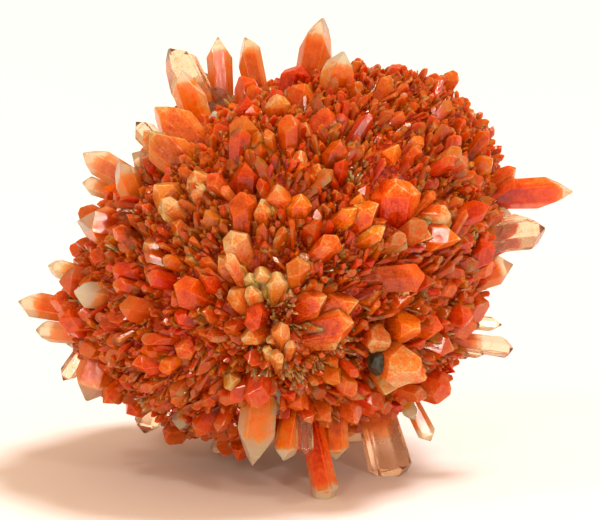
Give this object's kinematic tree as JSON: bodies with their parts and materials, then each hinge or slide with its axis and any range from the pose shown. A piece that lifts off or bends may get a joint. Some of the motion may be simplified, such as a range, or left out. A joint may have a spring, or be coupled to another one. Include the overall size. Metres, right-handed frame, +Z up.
{
  "type": "creedite crystal cluster",
  "caption": "Ball of orange, clear-tipped creedite crystals grown through each other, with a dark mineral grain, resting on blunt crystal ends",
  "frame": {"origin": "Centre of the bounding box in plan, on the plane that the crystal ends rest on", "axes": "+X to the right as seen from the front, +Y away from the viewer, +Z up"},
  "size_m": [0.09, 0.0682, 0.0721],
  "materials": {
    "orange_creedite": "Glassy crystal faces, orange and cloudy inside, clear and colourless at the tips, finely striated along the blades",
    "dark_mineral": "Broken, greenish-black grain with small shining faces"
  },
  "bodies": {
    "root": {"crystal_cluster": "orange_creedite", "dark_mineral_grain": "dark_mineral"}
  },
  "joints": []
}
